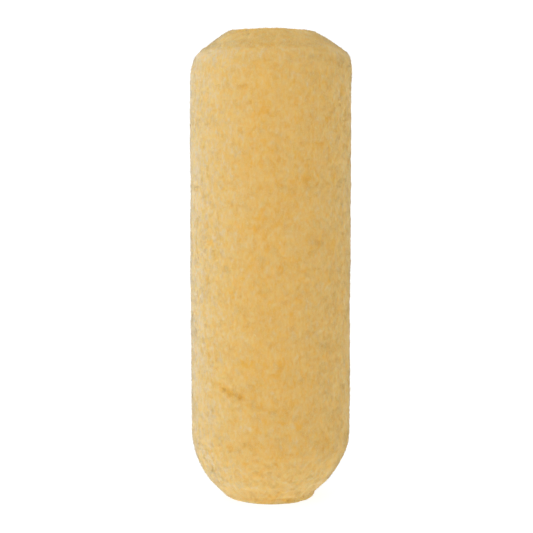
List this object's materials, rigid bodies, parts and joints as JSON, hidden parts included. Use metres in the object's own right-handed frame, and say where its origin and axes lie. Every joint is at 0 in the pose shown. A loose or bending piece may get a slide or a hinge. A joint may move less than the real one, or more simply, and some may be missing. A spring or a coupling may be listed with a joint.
{
  "type": "paint roller cover",
  "caption": "Paint roller sleeve: a spiral-wound plastic core inside a knitted backing, with a deep golden pile nap bevelled at both ends.",
  "frame": {"origin": "on the sleeve's axis, level with the foot of the nap", "axes": "+Z along the sleeve's axis, towards the end with the fuller nap; the sleeve stands on its lower end, and its front faces -Y"},
  "size_m": [0.0794, 0.0794, 0.23],
  "materials": {
    "core_plastic": "satin natural polypropylene strip",
    "bond": "set bonding resin, slightly yellow",
    "knit": "close knitted backing, matt",
    "nap": "long soft golden pile, cream at the fibre tips"
  },
  "bodies": {
    "root": {"core_inner_strip": "core_plastic", "core_bond": "bond", "core_outer_strip": "core_plastic", "cover_bond": "bond", "knit_backing": "knit", "nap": "nap"}
  },
  "joints": []
}
